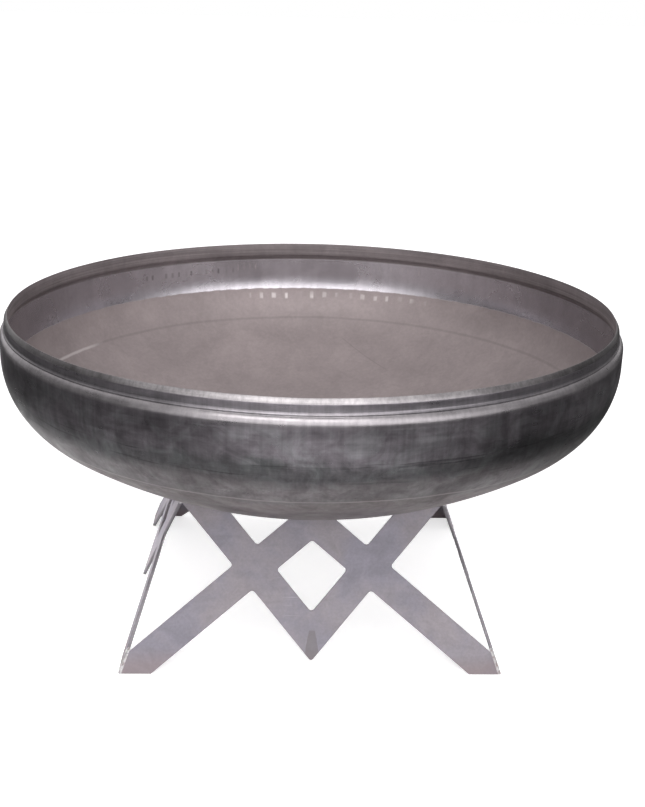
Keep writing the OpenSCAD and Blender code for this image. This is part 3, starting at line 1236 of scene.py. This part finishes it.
@dataclass
class WeldBead:
    """Rippled bead that fills the groove between two plates at a corner."""

    place: BeadPlace
    corner: Corner
    plate: LatticePlate
    crown: float = 1.9
    runout: float = 4.0
    ripple: float = 0.28
    pitch: float = 2.3
    level_step: float = 0.35
    sharp_angle: float = 50.0

    def stations(self) -> list[Point]:
        """Heights along the bead and its size at each.

        Returns:
            Pairs of a height and a size.
        """
        cos = math.cos(LEAN)
        if self.place is BeadPlace.FOOT:
            join = self.plate.foot_join_s * cos
            return [(0.0, 1.0), (join, 1.0), (join + 0.6 * self.runout, 0.85), (join + self.runout, 0.5)]
        low = self.plate.joint_s * cos
        high = self.plate.corner_s * cos - 1.5
        return [(low - self.runout / 2, 0.6), (low, 0.95), (high - 0.8, 0.95), (high, 0.8)]

    def size_at(self, z: float) -> float:
        """Size of the bead at a height.

        Args:
            z: height, in millimetres.

        Returns:
            The size, as a share of the full one.
        """
        stations = self.stations()
        for (z0, s0), (z1, s1) in zip(stations, stations[1:]):
            if z <= z1:
                return s0 + (s1 - s0) * max(0.0, (z - z0) / (z1 - z0))
        return stations[-1][1]

    def ring(self, z: float) -> list[Vector]:
        """One level section of the bead.

        Args:
            z: height, in millimetres.

        Returns:
            Points in metres, at the front left corner.
        """
        side = PLATE_THICKNESS * math.cos(LEAN)
        root = PLATE_THICKNESS / math.cos(LEAN)
        chord = side * math.sqrt(2)
        arc_r = ((chord / 2) ** 2 + self.crown**2) / (2 * self.crown)
        half = math.degrees(math.asin(chord / 2 / arc_r))
        centre = side / 2 + (arc_r - self.crown) / math.sqrt(2)
        size = self.size_at(z)
        shift = z * math.tan(LEAN) - HALF_BASE
        points = [(root, root)]
        steps = 14
        for i in range(steps + 1):
            t = 1.0 - 2.0 * i / steps
            wave = math.sin(2 * math.pi * (z / self.pitch + 0.9 * t * t + 0.07 * math.sin(z * 1.3)))
            swell = self.ripple * (1.0 - t * t) * wave - 0.10
            x, y = toward(225 + half * t)
            points.append((centre + (arc_r + swell) * x, centre + (arc_r + swell) * y))
        out = []
        for x, y in points:
            x, y = root / 2 + size * (x - root / 2), root / 2 + size * (y - root / 2)
            out.append(Vector(((x + shift) * MM, (y + shift) * MM, z * MM)))
        return out

    def build(self, metal: bpy.types.Material) -> bpy.types.Object:
        """Sweeps the rings into a closed bead and dresses it.

        Args:
            metal: the bead's material.

        Returns:
            The bead.
        """
        stations = self.stations()
        low, high = stations[0][0], stations[-1][0]
        count = max(6, round((high - low) / self.level_step))
        rings = [self.ring(low + (high - low) * i / count) for i in range(count + 1)]
        n = len(rings[0])
        verts = [p for ring in rings for p in ring]
        faces = []
        for k in range(len(rings) - 1):
            for i in range(n):
                a, b = k * n + i, k * n + (i + 1) % n
                faces.append((a, b, b + n, a + n))
        base = len(verts)
        verts += [sum(ring, Vector()) / n for ring in (rings[0], rings[-1])]
        last = (len(rings) - 1) * n
        for i in range(n):
            faces.append((base, (i + 1) % n, i))
            faces.append((base + 1, last + i, last + (i + 1) % n))
        name = f"{self.place.value}_{self.corner.name.lower()}"
        mesh = bpy.data.meshes.new(f"{name}_bead")
        mesh.from_pydata([tuple(v) for v in verts], [], faces)
        mesh.transform(Matrix.Rotation(math.pi / 2 * self.corner.value, 4, "Z"))
        mesh.materials.append(metal)
        smooth_mesh(mesh, self.sharp_angle)
        mesh.validate()
        obj = add(f"{name}_bead", mesh)
        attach(obj, "base")
        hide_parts(name)
        return obj


@dataclass
class Studio:
    """Pale floor, soft lights, surroundings and camera."""

    focal_px: float = 1208.0
    frame_width: int = 645
    frame_height: int = 807
    place: Place = (-0.055, -1.7607, 0.9151)
    pitch: float = 18.90
    yaw: float = 2.39
    roll: float = 1.40
    panel_turn: float = -8.0
    panel: float = 2.2
    room: float = 0.14
    ceiling: float = 0.75
    back: float = 1.0
    room_colour: Colour = (1.0, 0.985, 0.985)
    lamp_colour: Colour = (1.0, 0.985, 0.972)
    floor_radius: float = 40.0

    def camera(self) -> None:
        """Makes the camera at its height, distance and tilt."""
        data = bpy.data.cameras.new("view")
        data.sensor_width = 36.0
        data.lens = self.focal_px / max(self.frame_width, self.frame_height) * data.sensor_width
        data.clip_start, data.clip_end = 0.05, 100.0
        obj = add("view", data)
        pitch, yaw, roll = (math.radians(a) for a in (self.pitch, self.yaw, self.roll))
        ahead = Vector((math.sin(yaw) * math.cos(pitch), math.cos(yaw) * math.cos(pitch), -math.sin(pitch)))
        right = Vector((math.cos(yaw), -math.sin(yaw), 0.0))
        up = right.cross(ahead)
        across = math.cos(roll) * right + math.sin(roll) * up
        upward = -math.sin(roll) * right + math.cos(roll) * up
        turn = Matrix((across, upward, -ahead)).transposed().to_4x4()
        obj.matrix_world = Matrix.Translation(self.place) @ turn
        bpy.context.scene.camera = obj

    def lamp(
        self, name: str, place: Place, aim: Place, size: Point, power: float, spread: float = 180.0
    ) -> None:
        """Adds one soft box.

        Args:
            name: the light's name.
            place: its position.
            aim: the point it faces.
            size: its width and height.
            power: its power in watts.
            spread: angle that its light fans out over, in degrees.
        """
        data = bpy.data.lights.new(name, "AREA")
        data.shape = "RECTANGLE"
        data.size, data.size_y = size
        data.energy = power
        data.color = self.lamp_colour
        data.spread = math.radians(spread)
        obj = add(name, data)
        obj.visible_camera = False
        facing = (Vector(aim) - Vector(place)).to_track_quat("-Z", "Y").to_matrix().to_4x4()
        obj.matrix_world = Matrix.Translation(place) @ facing

    def surroundings(self) -> None:
        """Pale room, brightest in a broad soft panel in front of the object."""
        world = bpy.data.worlds.new("room")
        world.use_nodes = True
        bpy.context.scene.world = world
        t = Tree(world.node_tree)
        turn = t.node("ShaderNodeMapping")
        turn.inputs["Rotation"].default_value = (0.0, 0.0, math.radians(self.panel_turn))
        t.join(t.node("ShaderNodeTexCoord").outputs["Generated"], turn.inputs["Vector"])
        _, y, z = t.axes(turn.outputs[0])
        panel = t.times(t.span(y, -0.95, -0.30, 1.0, 0.0), t.span(z, 0.45, 0.80, 1.0, 0.0), self.panel)
        above = t.span(z, 0.25, 0.9, self.room, self.ceiling)
        behind = t.span(y, 0.45, 0.95, 0.0, self.back)
        room = t.node("ShaderNodeBackground")
        room.inputs["Color"].default_value = (*self.room_colour, 1.0)
        t.join(t.plus(panel, above, behind), room.inputs["Strength"])
        seen = t.node("ShaderNodeBackground")
        seen.inputs["Color"].default_value = (1.0, 1.0, 1.0, 1.0)
        mix = t.node("ShaderNodeMixShader")
        t.join(t.node("ShaderNodeLightPath").outputs["Is Camera Ray"], mix.inputs[0])
        t.join(room.outputs[0], mix.inputs[1])
        t.join(seen.outputs[0], mix.inputs[2])
        t.join(mix.outputs[0], t.node("ShaderNodeOutputWorld").inputs["Surface"])

    def floor(self) -> None:
        """Lays a wide round floor."""
        mesh = bpy.data.meshes.new("studio_floor")
        bm = bmesh.new()
        bmesh.ops.create_circle(bm, cap_ends=True, segments=96, radius=self.floor_radius)
        bm.to_mesh(mesh)
        bm.free()
        mesh.materials.append(FloorPaint().build())
        obj = add("studio_floor", mesh)

    def build(self) -> None:
        """Makes the whole studio."""
        self.camera()
        self.surroundings()
        self.floor()
        self.lamp("key", (-0.3, -2.2, 2.6), (0.0, 0.0, 0.35), (2.6, 1.1), 34.0)
        for side in (-1.0, 1.0):
            name = "flank_left" if side < 0 else "flank_right"
            self.lamp(name, (side * 1.6, 0.25, 0.12), (side * 0.25, 0.0, 0.09), (0.5, 0.12), 0.7, 22.0)
        scene = bpy.context.scene
        scene.view_settings.view_transform = "Standard"
        scene.view_settings.look = "None"


def report(obj: bpy.types.Object) -> None:
    """Logs a piece's name, face count and place.

    Args:
        obj: the piece.
    """
    box = [obj.matrix_world @ Vector(c) for c in obj.bound_box]
    low = [round(min(p[i] for p in box), 4) for i in range(3)]
    high = [round(max(p[i] for p in box), 4) for i in range(3)]
    log.info("%s: %d faces, from %s to %s", obj.name, len(obj.data.polygons), low, high)


def main() -> None:
    """Builds the studio, the bowl and the base, and reports each piece."""
    logging.basicConfig(level=logging.INFO, format="%(name)s: %(message)s")
    Studio().build()
    report(FireBowl().build())
    cut, arris = CutSteel().build(), ShadedArris().build()
    drips = {Side.FRONT: 0.060, Side.RIGHT: 0.044, Side.BACK: 0.052, Side.LEFT: 0.038}
    for side in Side:
        report(LatticePlate(side, drip=drips[side]).build(cut, arris))
    metal = WeldSteel().build()
    pattern = LatticePlate(Side.FRONT)
    for place in BeadPlace:
        for corner in Corner:
            report(WeldBead(place, corner, pattern).build(metal))


if __name__ == "__main__":
    main()
